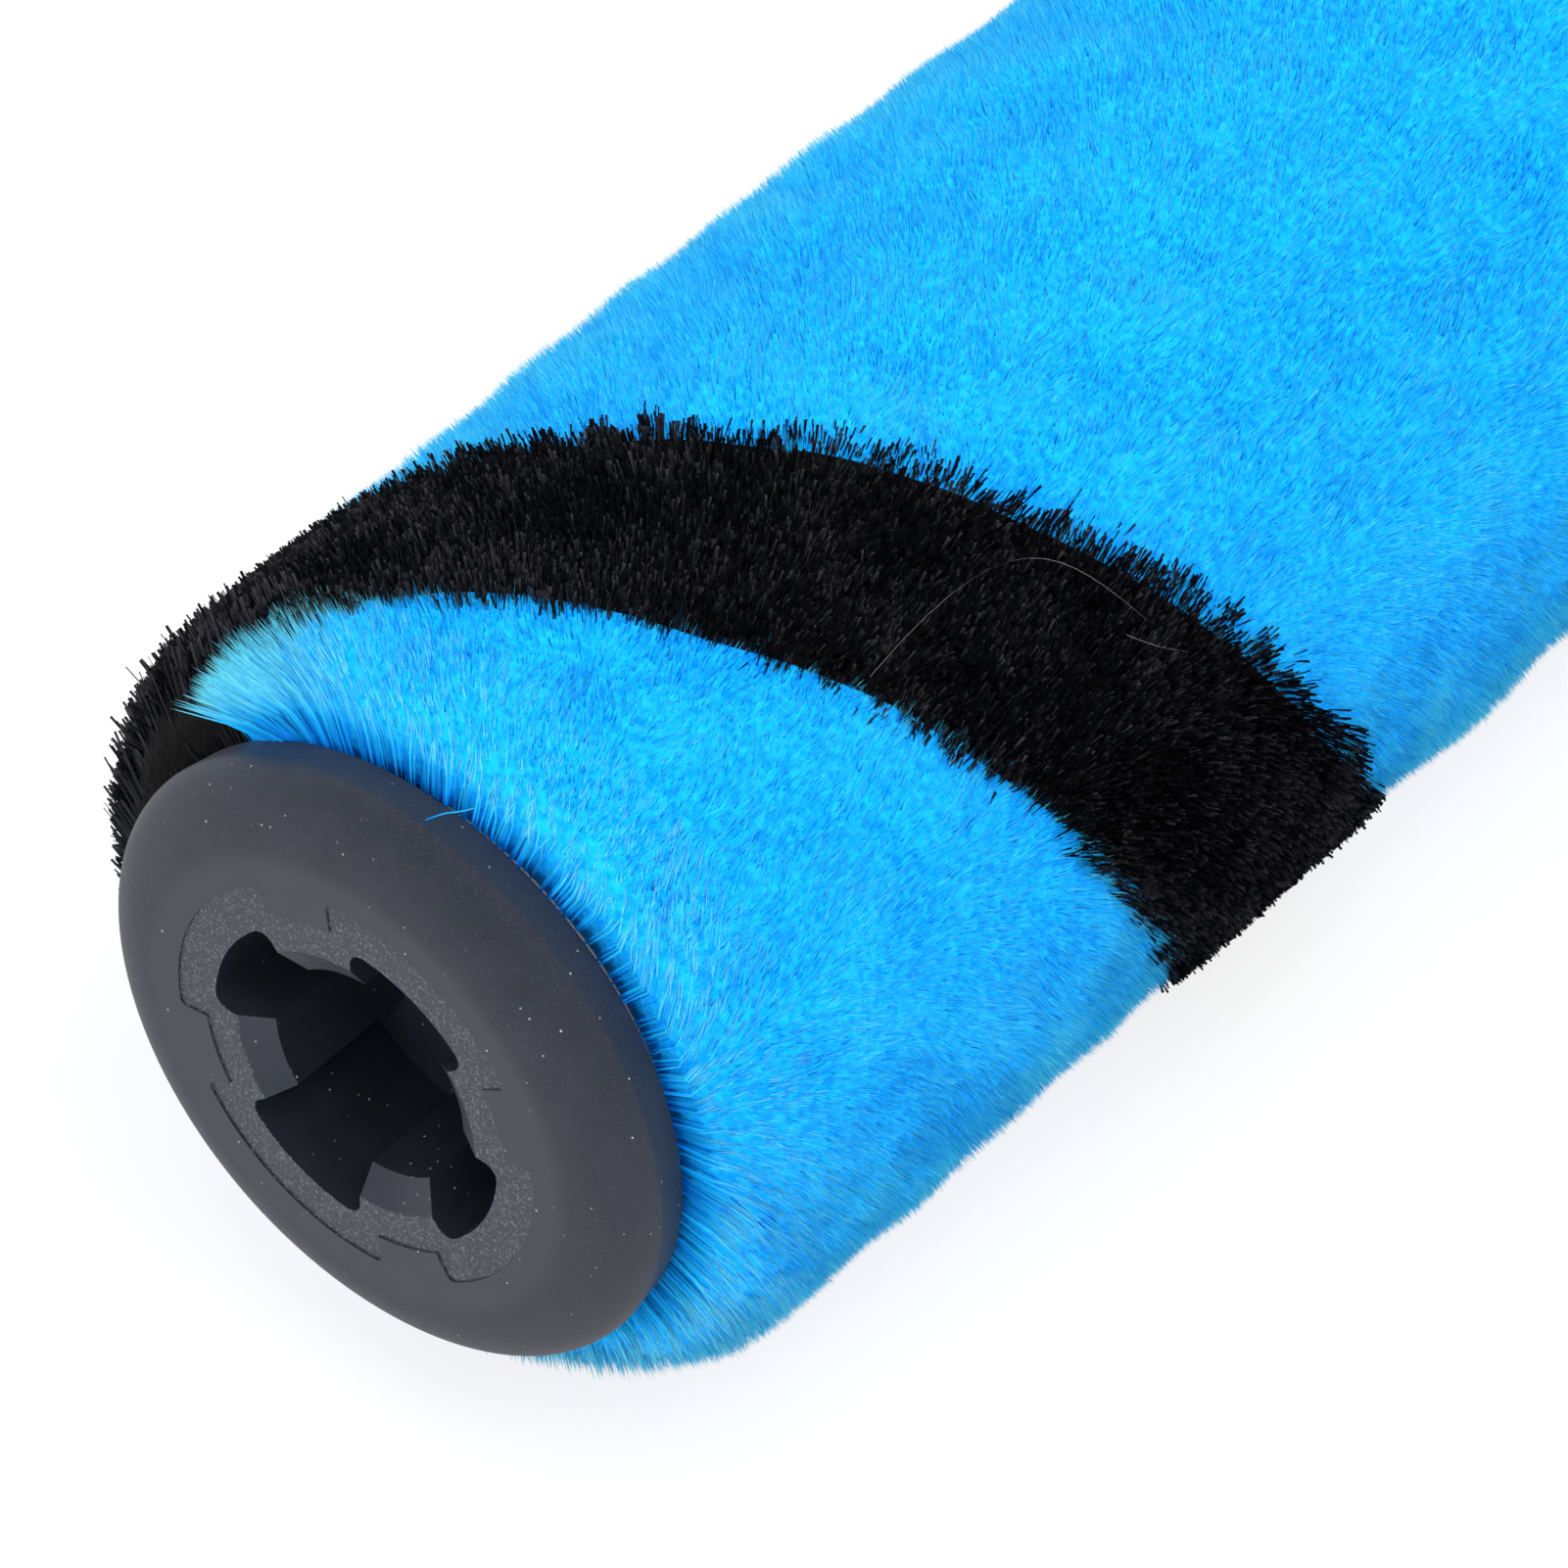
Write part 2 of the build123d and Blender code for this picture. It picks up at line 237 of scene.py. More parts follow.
def roller_place(tree):
    """Object coordinates, the axial place, and the distance from the roller's axis."""
    place = node(tree, "ShaderNodeTexCoord").outputs["Object"]
    parts = node(tree, "ShaderNodeSeparateXYZ", None, Vector=place).outputs
    y_squared = math_node(tree, "MULTIPLY", parts["Y"], parts["Y"])
    z_squared = math_node(tree, "MULTIPLY", parts["Z"], parts["Z"])
    distance = math_node(tree, "SQRT", math_node(tree, "ADD", y_squared, z_squared))
    return place, parts["X"], distance


# Camera, light and floor

def add_camera():
    """Puts the camera where the photo was taken from."""
    forward = Vector((
        -sin(CAMERA_AZIMUTH) * cos(CAMERA_ELEVATION),
        cos(CAMERA_AZIMUTH) * cos(CAMERA_ELEVATION),
        -sin(CAMERA_ELEVATION),
    ))
    right = forward.cross(Vector((0, 0, 1))).normalized()
    up = right.cross(forward)
    place = CAP_CENTRE - forward * CAP_DISTANCE - right * CAP_RIGHT - up * CAP_UP
    data = bpy.data.cameras.new("camera")
    data.lens = CAMERA_LENS
    data.sensor_width = 36
    camera = bpy.data.objects.new("camera", data)
    turn = Matrix((right, up, -forward)).transposed()
    camera.matrix_world = Matrix.Translation(place) @ turn.to_4x4()
    bpy.context.scene.collection.objects.link(camera)
    bpy.context.scene.camera = camera


def add_area_light(name, place, power):
    """Adds a square soft box that faces the roller and isn't mirrored: the photo's cap mirrors no lamp."""
    data = bpy.data.lights.new(name, "AREA")
    data.size = LAMP_SIZE
    data.energy = power
    lamp = bpy.data.objects.new(name, data)
    lamp.location = place
    lamp.visible_glossy = False
    lamp.rotation_euler = (Vector(LAMP_TARGET) - Vector(place)).to_track_quat("-Z", "Y").to_euler()
    bpy.context.scene.collection.objects.link(lamp)


def add_floor():
    """Adds a white floor that keeps a soft shadow."""
    reach = 3.0
    mesh = bpy.data.meshes.new("floor")
    corners = ((-reach, -reach), (reach, -reach), (reach, reach), (-reach, reach))
    mesh.from_pydata([(x, y, FLOOR) for x, y in corners], [], [(0, 1, 2, 3)])
    floor = bpy.data.objects.new("floor", mesh)
    bpy.context.scene.collection.objects.link(floor)
    material, tree, output = new_material("floor_white")
    diffuse = node(tree, "ShaderNodeBsdfDiffuse", None, Color=(0.86, 0.86, 0.86, 1))
    glow = node(tree, "ShaderNodeEmission", None, Color=(1, 1, 1, 1), Strength=1.0)
    shaded = node(tree, "ShaderNodeMixShader", None, Fac=0.8, i1=diffuse.outputs[0], i2=glow.outputs[0])
    path = node(tree, "ShaderNodeLightPath").outputs
    seen = math_node(tree, "MAXIMUM", path["Is Camera Ray"], path["Is Glossy Ray"])
    seen = math_node(tree, "MAXIMUM", seen, path["Is Transmission Ray"])
    final = node(tree, "ShaderNodeMixShader", None, Fac=seen, i1=diffuse.outputs[0], i2=shaded.outputs[0])
    tree.links.new(final.outputs[0], output.inputs["Surface"])
    mesh.materials.append(material)


def add_light():
    """Adds a pale room that is dark over the photographer, and soft boxes at the left, above and behind."""
    scene = bpy.context.scene
    scene.view_settings.view_transform = "Standard"
    world = bpy.data.worlds.new("studio")
    scene.world = world
    world.use_nodes = True
    tree = world.node_tree
    tree.nodes.clear()
    way = node(tree, "ShaderNodeTexCoord").outputs["Generated"]
    near = node(tree, "ShaderNodeVectorMath", {"operation": "DOT_PRODUCT"}, i0=way, i1=PHOTOGRAPHER)
    sky = ramp(tree, near.outputs["Value"], [(0.4, (0.9, 0.9, 0.91)), (0.95, (0.12, 0.12, 0.14))])
    room = node(tree, "ShaderNodeBackground", None, Color=sky, Strength=1.0)
    final = node(tree, "ShaderNodeOutputWorld")
    tree.links.new(room.outputs[0], final.inputs["Surface"])
    add_area_light("left", (-1.0, -0.1, 0.5), 6.5)
    add_area_light("top", (-0.1, -0.45, 1.0), 13)
    add_area_light("back", (0.1, 1.0, 0.3), 6.5)


# Pile geometry

def wave_field(scale, waves=20):
    """A smooth random field over the roller, closed round it, of about this wavelength and about 1 high."""
    heading = rng.uniform(0, 2 * pi, waves)
    length = scale * rng.uniform(0.7, 1.5, waves)
    phase = rng.uniform(0, 2 * pi, waves)
    along = 2 * pi * np.cos(heading) / length
    around = np.round(2 * pi * PLUSH_RADIUS * np.sin(heading) / length)

    def field(x, turn):
        total = np.zeros_like(x)
        for k in range(waves):
            total += np.cos(along[k] * x + around[k] * turn + phase[k])
        return total * sqrt(2 / waves)

    return field


swell = wave_field(22 * MM)
mottle = wave_field(8 * MM)
edge_waver = wave_field(2.2 * MM)
nap_along = wave_field(6 * MM)
nap_around = wave_field(6 * MM)


def band_offset(x, turn):
    """Axial distance from the middle line of the nearest turn of the bristle band."""
    middle = WINDING_LEAD * (turn - WINDING_TURN) / (2 * pi)
    return (x - middle + WINDING_LEAD / 2) % WINDING_LEAD - WINDING_LEAD / 2


def end_drop(x):
    """How far the pile's rounded ends fall below its full radius."""
    from_end = np.clip(np.minimum(x - PILE_START, PILE_END - x), 0, PILE_END_ROUND)
    return PILE_END_ROUND - np.sqrt(PILE_END_ROUND ** 2 - (PILE_END_ROUND - from_end) ** 2)


def plush_top(x, turn):
    """Radius of the plush's tips."""
    waves = PLUSH_SWELL * swell(x, turn) + PLUSH_MOTTLE * mottle(x, turn)
    return PLUSH_RADIUS - PLUSH_SINK - end_drop(x) + waves


def bristle_top(x, turn):
    """Radius of the bristles' tips."""
    waves = BRISTLE_WAVES * (swell(x, turn) + mottle(x, turn))
    return BRISTLE_RADIUS - BRISTLE_SINK - end_drop(x) + waves


def in_bristle_band(x, turn):
    """Whether fibres rooted here are black: the band has a wavering, ragged edge."""
    waver = EDGE_SHORT * edge_waver(x, turn) + EDGE_LONG * mottle(x, turn)
    edge = BRISTLE_WIDTH / 2 + waver + rng.normal(0, EDGE_SCATTER, len(x))
    return np.abs(band_offset(x, turn)) < edge


def on_roller(x, turn, radius):
    """Points at these axial places, turns and radii."""
    return np.stack([x, radius * np.cos(turn), radius * np.sin(turn)], axis=-1)


def near_turn(turn, middle, spread):
    """A number that is 1 at a turn and falls off smoothly to 0 at both sides of it."""
    return np.exp(-(((turn - middle + pi) % (2 * pi) - pi) / spread) ** 2)


def nap(turn):
    """How far the fibres are combed back round the roller, as a slope."""
    return NAP_LEAN * near_turn(turn, NAP_TURN, NAP_SPREAD)


def press_flat(points, floor):
    """Lifts points that would be under the floor onto it."""
    points[..., 2] = np.maximum(points[..., 2], floor)
    return points


def mesh_object(name, points, faces, attributes=None, normals=None):
    """Makes a smooth mesh object from arrays of points and faces that have equal numbers of corners."""
    mesh = bpy.data.meshes.new(name)
    corners = faces.shape[1]
    mesh.vertices.add(len(points))
    mesh.vertices.foreach_set("co", np.ascontiguousarray(points, np.float32).ravel())
    mesh.loops.add(faces.size)
    mesh.loops.foreach_set("vertex_index", np.ascontiguousarray(faces, np.int32).ravel())
    mesh.polygons.add(len(faces))
    mesh.polygons.foreach_set("loop_start", np.arange(0, faces.size, corners, dtype=np.int32))
    mesh.polygons.foreach_set("use_smooth", np.ones(len(faces), bool))
    for key, values in (attributes or {}).items():
        layer = mesh.attributes.new(key, "FLOAT", "POINT")
        layer.data.foreach_set("value", np.ascontiguousarray(values, np.float32))
    mesh.update(calc_edges=True)
    mesh.validate()
    if normals is not None:
        mesh.normals_split_custom_set_from_vertices(normals)
    made = bpy.data.objects.new(name, mesh)
    bpy.context.scene.collection.objects.link(made)
    return made


def dress(piece, material):
    """Gives a piece its material and lets it ride on the roller."""
    piece.data.materials.append(material)
    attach(piece, "roller")
    return piece


def add_pile_body(name, replaced, band_middle, width, top, columns, material):
    """Adds the closed helical body under the fibres of one strip."""
    step = radians(4)
    start, end = PILE_START + BODY_INSET, PILE_END - BODY_INSET
    share = (1 - np.cos(np.linspace(0, pi, columns))) / 2
    first = 2 * pi * (start - width / 2 - band_middle) / WINDING_LEAD + WINDING_TURN
    last = 2 * pi * (end + width / 2 - band_middle) / WINDING_LEAD + WINDING_TURN
    turns = np.linspace(first + step / 4, last - step / 4, int((last - first) / step))
    middle = band_middle + WINDING_LEAD * (turns - WINDING_TURN) / (2 * pi)
    low = np.clip(middle - width / 2, start, end)
    high = np.clip(middle + width / 2, start, end)
    x = low[:, None] + (high - low)[:, None] * share
    turn = np.broadcast_to(turns[:, None], x.shape)
    outer_radius = np.maximum(top(x, turn) - BODY_UNDER, TUBE_RADIUS + BODY_LEAST)
    outer = press_flat(on_roller(x, turn, outer_radius), FLOOR + BODY_CLEAR)
    inner = on_roller(x[:, [0, -1]], turn[:, [0, -1]], np.full((len(turns), 2), TUBE_RADIUS))
    rows, count = len(turns), len(turns) * columns
    points = np.concatenate([outer.reshape(-1, 3), inner.reshape(-1, 3)])
    at = np.arange(count).reshape(rows, columns)
    low_edge, high_edge = count + np.arange(rows) * 2, count + np.arange(rows) * 2 + 1
    a, b, c, d = at[:-1, :-1], at[:-1, 1:], at[1:, 1:], at[1:, :-1]
    faces = [np.stack([a, b, c, d], -1).reshape(-1, 4)]
    faces.append(np.stack([low_edge[:-1], low_edge[1:], high_edge[1:], high_edge[:-1]], -1))
    faces.append(np.stack([low_edge[:-1], at[:-1, 0], at[1:, 0], low_edge[1:]], -1))
    faces.append(np.stack([at[:-1, -1], high_edge[:-1], high_edge[1:], at[1:, -1]], -1))
    body = mesh_object(name, points, np.concatenate(faces))
    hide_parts(replaced)
    dress(body, material)


def ribbons(paths, width, spin, two_sided):
    """Thin fibres that taper along paths of points: points, triangles, and how far along each point is."""
    count, stops = paths.shape[:2]
    along = paths[:, -1] - paths[:, 0]
    along = along / np.linalg.norm(along, axis=1, keepdims=True)
    side = np.cross(along, np.array([1.0, 0.0, 0.0]))
    side /= np.linalg.norm(side, axis=1, keepdims=True)
    flat = np.cos(spin)[:, None] * side + np.sin(spin)[:, None] * np.cross(along, side)
    share = np.linspace(0, 1, stops)
    reach = width[:, None] / 2 * (1 - share[:-1] ** 3)
    offset = reach[..., None] * flat[:, None, :]
    pairs = np.stack([paths[:, :-1] - offset, paths[:, :-1] + offset], axis=2).reshape(count, -1, 3)
    points = np.concatenate([pairs, paths[:, -1:]], axis=1)
    corners = points.shape[1]
    triangles = []
    for k in range(0, corners - 3, 2):
        triangles += [(k, k + 1, k + 3), (k, k + 3, k + 2)]
    triangles.append((corners - 3, corners - 2, corners - 1))
    triangles = np.array(triangles)
    how_far = np.append(np.repeat(share[:-1], 2), 1.0)
    if two_sided:
        lift = 0.1 * (width[:, None] * np.cross(flat, along))[:, None, :]
        points = np.concatenate([points + lift, points - lift], axis=1)
        triangles = np.concatenate([triangles, corners + triangles[:, ::-1]])
        how_far = np.tile(how_far, 2)
    first = np.arange(count)[:, None, None] * points.shape[1]
    return points.reshape(-1, 3), (first + triangles).reshape(-1, 3), np.tile(how_far, count)


def add_fibres(name, paths, outward, width, tone, material, slot):
    """Adds one piece of fibres along these paths, shaded as a brush of tips that faces outward.

    The plush's fibres end in a point and let light through to its depth, so only its body casts a shadow.
    The bristles are cut blunt.
    """
    blunt = slot == "black_bristle"
    thick = width * rng.uniform(0.7, 1.3, len(paths))
    lines = paths[:, ::-1] if blunt else paths
    points, faces, how_far = ribbons(lines, thick, rng.uniform(0, pi, len(paths)), paths.shape[1] > 2)
    how_far = 1 - how_far if blunt else how_far
    facing = outward / np.linalg.norm(outward, axis=1, keepdims=True)
    facing += rng.normal(0, FACING_SCATTER, outward.shape)
    facing /= np.linalg.norm(facing, axis=1, keepdims=True)
    corners = len(points) // len(paths)
    facts = {"along": how_far, "tone": np.repeat(tone, corners)}
    piece = mesh_object(name, points, faces, facts, np.repeat(facing, corners, axis=0))
    piece.visible_shadow = blunt
    dress(piece, material)


def tuft_pull(x, turn, size):
    """The way to the middle of each place's tuft, along and round the roller, and the tuft's strength."""
    girth = 2 * pi * PLUSH_RADIUS
    rows = round(girth / size)
    warp = wave_field(3 * size)(x, turn)
    warp_x = x / size + 0.5 * warp
    warp_s = turn * PLUSH_RADIUS * rows / girth - 0.5 * warp
    i = np.floor(warp_x).astype(int)
    j = np.floor(warp_s).astype(int) % rows
    i -= i.min()
    middle = rng.uniform(0.25, 0.75, (2, i.max() + 1, rows))
    strength = rng.uniform(0.2, 1.0, middle.shape[1:])[i, j]
    pull_x = (middle[0, i, j] - warp_x % 1) * size
    pull_s = (middle[1, i, j] - warp_s % 1) * size
    return pull_x * strength, pull_s * strength, strength


def scatter(count, start, end):
    """An even, jittered scatter of axial places and turns over the pile from start to end."""
    length, girth = end - start, 2 * pi * PLUSH_RADIUS
    columns = int(sqrt(count * length / girth))
    rows = int(count / columns)
    i, j = np.meshgrid(np.arange(columns), np.arange(rows), indexing="ij")
    x = start + length * (i.ravel() + rng.random(i.size)) / columns
    turn = 2 * pi * (j.ravel() + rng.random(j.size)) / rows
    return x, turn


def fibre_tone(x, turn, strength, spread):
    """A tone from 0, dark, to 1, light, for each fibre: its own, its tuft's and its neighbourhood's."""
    own = rng.normal(0, spread, len(x))
    around = MOTTLE_TONE * mottle(x, turn) + SWELL_TONE * swell(x, turn)
    return np.clip(0.5 + own + TUFT_TONE * (strength - 0.6) + around, 0, 1)


def add_coat(
    name, x, turn, top, depth, width, tuft, waver, edge_lean, uneven, spread, material, slot, pieces,
):
    """Adds the fibres that stand all over one strip, with their tips drawn together in tufts."""
    count = len(x)
    long = depth * rng.uniform(0.75, 1.1, count)
    height = top(x, turn)
    pull_x, pull_s, strength = tuft_pull(x, turn, tuft)
    offset = band_offset(x, turn)
    near_edge = np.clip(1 - np.abs(np.abs(offset) - BRISTLE_WIDTH / 2) / EDGE_ZONE, 0, 1)
    lean_x = waver * nap_along(x, turn) + rng.normal(0, LEAN_SCATTER, count)
    lean_x += edge_lean * np.sign(offset) * near_edge * rng.random(count)
    lean_s = waver * nap_around(x, turn) + rng.normal(0, LEAN_SCATTER, count) - nap(turn)
    tip_x = x + COAT_DRAW * pull_x + long * lean_x
    tip_x = np.clip(tip_x, PILE_START - TIP_OVERHANG, PILE_END + TIP_OVERHANG)
    tip_turn = turn + (COAT_DRAW * pull_s + long * lean_s) / PLUSH_RADIUS
    tip_radius = height + rng.normal(0, uneven, count)
    root_radius = np.maximum(height - long, TUBE_RADIUS)
    roots = press_flat(on_roller(x, turn, root_radius), FLOOR + ROOT_CLEAR)
    tips = press_flat(on_roller(tip_x, tip_turn, tip_radius), FLOOR + TIP_CLEAR)
    paths = np.stack([roots, tips], axis=1)
    tone = fibre_tone(x, turn, strength, spread)
    order = np.argsort(x, kind="stable")
    for number, some in enumerate(np.array_split(order, pieces), 1):
        title = f"{name}_{number}" if pieces > 1 else name
        add_fibres(title, paths[some], (tips - roots)[some], width, tone[some], material, slot)


def fan_paths(start, inward, share, turn, top, stiff):
    """Long fibres at one end, from the tube to the pile's rounded edge. inward is 1 or -1 along the axis.

    Stiff ones stand nearly straight and end unevenly, soft ones spread over the edge.
    """
    count = len(share)
    root_x = start + inward * (FAN_ROOT_FIRST + FAN_ROOT_DEPTH * share)
    _, pull_s, strength = tuft_pull(root_x, turn, FAN_TUFT)
    first_bow = STIFF_BOW if stiff else SOFT_BOW
    bow = first_bow + (pi / 2 - first_bow) * share
    tip_x = start + inward * PILE_END_ROUND * (1 - np.cos(bow))
    inside = np.full(count, start + inward * PILE_END_ROUND)
    tip_radius = top(inside, turn) - PILE_END_ROUND * (1 - np.sin(bow))
    loose = (0 if stiff else FAN_LOOSE) * (1 - share) * rng.uniform(0.1, 1.0, count)
    tip_x -= inward * loose
    tip_radius += loose + rng.normal(0, STIFF_UNEVEN if stiff else SOFT_UNEVEN, count)
    bend_x = root_x.copy()
    if inward > 0 and not stiff:
        splay = near_turn(turn, SPLAY_TURN, SPLAY_SPREAD)
        tip_x -= SPLAY_REACH * splay * (1 - share) * rng.uniform(0.4, 1.2, count)
        tip_radius += SPLAY_LIFT * splay * (1 - share)
        bend_x += 0.5 * splay * (tip_x - root_x)
    tip_turn = turn + (FAN_DRAW * pull_s + rng.normal(0, FAN_WANDER, count)) / PLUSH_RADIUS
    tip_turn -= nap(turn) * (tip_radius - TUBE_RADIUS) / PLUSH_RADIUS
    t = np.linspace(0, 1, 3)[None, :]
    bend_radius = TUBE_RADIUS + FAN_BEND * (tip_radius - TUBE_RADIUS)
    at_root, at_bend, at_tip = (1 - t) ** 2, 2 * t * (1 - t), t ** 2
    x = at_root * root_x[:, None] + at_bend * bend_x[:, None] + at_tip * tip_x[:, None]
    radius = at_root * TUBE_RADIUS + at_bend * bend_radius[:, None] + at_tip * tip_radius[:, None]
    around = turn[:, None] + (tip_turn - turn)[:, None] * t ** 2
    outward = on_roller(-inward * np.cos(bow), turn, np.sin(bow))
    return press_flat(on_roller(x, around, radius), FLOOR + TIP_CLEAR), outward, strength


def add_fan(end_name, start, inward):
    """Adds the blue and black fans at one end. Most of their fibres are rooted near the end face."""
    share = rng.random(FAN_COUNT) ** 1.2
    turn = rng.uniform(0, 2 * pi, FAN_COUNT)
    if inward > 0:
        turn[:SPLAY_COUNT] = rng.normal(SPLAY_TURN, 0.7 * SPLAY_SPREAD, SPLAY_COUNT)
    black = in_bristle_band(start + inward * FAN_BAND_DEPTH * share, turn)
    # lift raises the fans' tone above the coat's: painted light on the side-on fan fibres, strongest on the
    # black ones
    for name, some, top, width, spread, lift, material, slot in (
        (f"plush_fan_{end_name}", ~black, plush_top, PLUSH_THICK, 0.17, 0.12, plush_long, "blue_plush"),
        (f"bristle_fan_{end_name}", black, bristle_top, BRISTLE_THICK, 0.3, 0.4, bristle, "black_bristle"),
    ):
        stiff = slot == "black_bristle"
        paths, outward, strength = fan_paths(start, inward, share[some], turn[some], top, stiff)
        tone = np.minimum(fibre_tone(np.full(some.sum(), start), turn[some], strength, spread) + lift, 1)
        add_fibres(name, paths, outward, width, tone, material, slot)


def add_stray(name, corners, height, width, tone, material):
    """Adds one loose fibre that lies on the roller through four (axial mm, turn in degrees) corners."""
    x, turn = np.array(corners).T
    t = np.linspace(0, 1, 16)
    weights = np.stack([(1 - t) ** 3, 3 * t * (1 - t) ** 2, 3 * t ** 2 * (1 - t), t ** 3], axis=-1)
    lift = np.full(16, height) + 0.15 * MM * np.sin(7 * t)
    path = on_roller(weights @ x * MM, np.radians(weights @ turn), lift)
    points, faces, how_far = ribbons(path[None], np.array([width]), np.array([0.0]), True)
    facts = {"along": how_far, "tone": np.full(len(points), tone)}
    dress(mesh_object(name, points, faces, facts), material)


# Materials of the pile

def fibre_material(name, root, middle, tip, tip_start, tone_low, tone_high, gloss, translucency):
    """A fibre that goes from a dark root to a lighter tip, has its own tone and lets some light through.
    The dark root is painted shade of the pile's depth, the lighter tip painted light on the tips.
    """
    material, tree, output = new_material(name)
    along = node(tree, "ShaderNodeAttribute", {"attribute_name": "along"}).outputs["Fac"]
    tone = node(tree, "ShaderNodeAttribute", {"attribute_name": "tone"}).outputs["Fac"]
    # The fibre's own colour, darkened towards the root with painted shade and lightened towards the tip
    # with painted light
    colour = ramp(tree, along, [(0.0, root), (tip_start, middle), (1.0, tip)])
    shade = ramp(tree, tone, [(0.0, tone_low), (0.5, (1, 1, 1)), (1.0, tone_high)])
    colour = mix_colour(tree, 1.0, colour, shade, "MULTIPLY")
    surface = node(tree, "ShaderNodeBsdfPrincipled", None, **{"Base Color": colour, "Roughness": 0.5})
    surface.inputs["Specular IOR Level"].default_value = gloss
    through = node(tree, "ShaderNodeBsdfTranslucent", None, Color=colour)
    mixed = node(
        tree, "ShaderNodeMixShader", None,
        Fac=translucency, i1=surface.outputs[0], i2=through.outputs[0],
    )
    tree.links.new(mixed.outputs[0], output.inputs["Surface"])
    return material


def pile_body_material(name, deep, light):
    """The shaded depth of the pile between its fibres."""
    material, tree, output = new_material(name)
    place = node(tree, "ShaderNodeTexCoord").outputs["Object"]
    grain = noise(tree, place, 0.6 * MM, 4.0)
    colour = ramp(tree, grain, [(0.3, deep), (0.7, light)])
    bump = node(tree, "ShaderNodeBump", None, Strength=0.6, Distance=0.4 * MM, Height=grain)
    surface = node(
        tree, "ShaderNodeBsdfPrincipled", None,
        **{"Base Color": colour, "Roughness": 0.9, "Normal": bump.outputs["Normal"]},
    )
    surface.inputs["Specular IOR Level"].default_value = 0.1
    tree.links.new(surface.outputs[0], output.inputs["Surface"])
    return material


# Materials of the rigid pieces

def cap_material():
    """Charcoal moulded plastic: smooth face, grained patch and grained shoulder with painted glints in the
    grain, a little dust.
    """
    material, tree, output = new_material("charcoal_cap")
    place, x, distance = roller_place(tree)
    past_face = step_up(tree, x, 0.03 * MM, 0.07 * MM)
    past_patch = step_up(tree, x, 0.13 * MM, 0.2 * MM)
    in_recess = math_node(tree, "SUBTRACT", past_face, past_patch)
    in_patch = math_node(tree, "MULTIPLY", in_recess, step_up(tree, distance, 13.0 * MM, 12.8 * MM))
    on_shoulder = step_up(tree, distance, 13.8 * MM, 15.2 * MM)
    coarse = noise(tree, place, 0.16 * MM, 3.0)
    fine = noise(tree, place, 0.07 * MM, 2.0)
    cloud = noise(tree, place, 3.0 * MM, 3.0)

    tint = ramp(tree, cloud, [(0.3, (0.012, 0.014, 0.021)), (0.7, (0.017, 0.019, 0.028))])
    # Painted glints: light specks added to the colour of the grained patch and, faintly, of the shoulder
    painted_glints = ramp(tree, coarse, [(0.52, (0.0, 0.0, 0.0)), (0.72, (0.10, 0.10, 0.10))])
    grained = math_node(tree, "MAXIMUM", in_patch, math_node(tree, "MULTIPLY", on_shoulder, 0.12))
    tint = mix_colour(tree, grained, tint, mix_colour(tree, 1.0, tint, painted_glints, "ADD"))
    cells = node(tree, "ShaderNodeTexVoronoi", None, Vector=place, Scale=1 / (0.8 * MM))
    dot = step_up(tree, cells.outputs["Distance"], 0.1, 0.05)
    chance = node(tree, "ShaderNodeSeparateColor", None, Color=cells.outputs["Color"]).outputs
    dust = math_node(tree, "MULTIPLY", dot, step_up(tree, chance["Red"], 0.4, 0.5))
    dust = math_node(tree, "MULTIPLY", dust, chance["Green"])
    tint = mix_colour(tree, dust, tint, (0.45, 0.45, 0.44))

    relief = math_node(tree, "MAXIMUM", in_patch, math_node(tree, "MULTIPLY", on_shoulder, 0.6))
    height = math_node(tree, "MULTIPLY", coarse, relief)
    height = math_node(tree, "ADD", height, math_node(tree, "MULTIPLY", fine, 0.15))
    bump = node(tree, "ShaderNodeBump", None, Strength=0.7, Distance=0.05 * MM, Height=height)
    roughness = math_node(tree, "ADD", 0.38, math_node(tree, "MULTIPLY", on_shoulder, 0.14))
    roughness = math_node(tree, "ADD", roughness, math_node(tree, "MULTIPLY", cloud, 0.06))
    surface = node(
        tree, "ShaderNodeBsdfPrincipled", None,
        **{"Base Color": tint, "Roughness": roughness, "Normal": bump.outputs["Normal"]},
    )
    surface.inputs["Specular IOR Level"].default_value = 0.5
    surface.inputs["Specular Tint"].default_value = (0.8, 0.86, 1.0, 1.0)
    tree.links.new(surface.outputs[0], output.inputs["Surface"])
    return material


def plastic_material(name, colour, roughness, grain):
    """Moulded plastic with a fine grain, faint flow marks and a little change of gloss."""
    material, tree, output = new_material(name)
    place = node(tree, "ShaderNodeTexCoord").outputs["Object"]
    fine = noise(tree, place, grain, 2.0)
    cloud = noise(tree, place, 5 * MM, 3.0)
    tint = mix_colour(tree, cloud, tuple(0.8 * c for c in colour), tuple(1.2 * c for c in colour))
    bump = node(tree, "ShaderNodeBump", None, Strength=0.3, Distance=0.04 * MM, Height=fine)
    gloss = math_node(tree, "ADD", roughness, math_node(tree, "MULTIPLY", cloud, 0.1))
    surface = node(
        tree, "ShaderNodeBsdfPrincipled", None,
        **{"Base Color": tint, "Roughness": gloss, "Normal": bump.outputs["Normal"]},
    )
    tree.links.new(surface.outputs[0], output.inputs["Surface"])
    return material


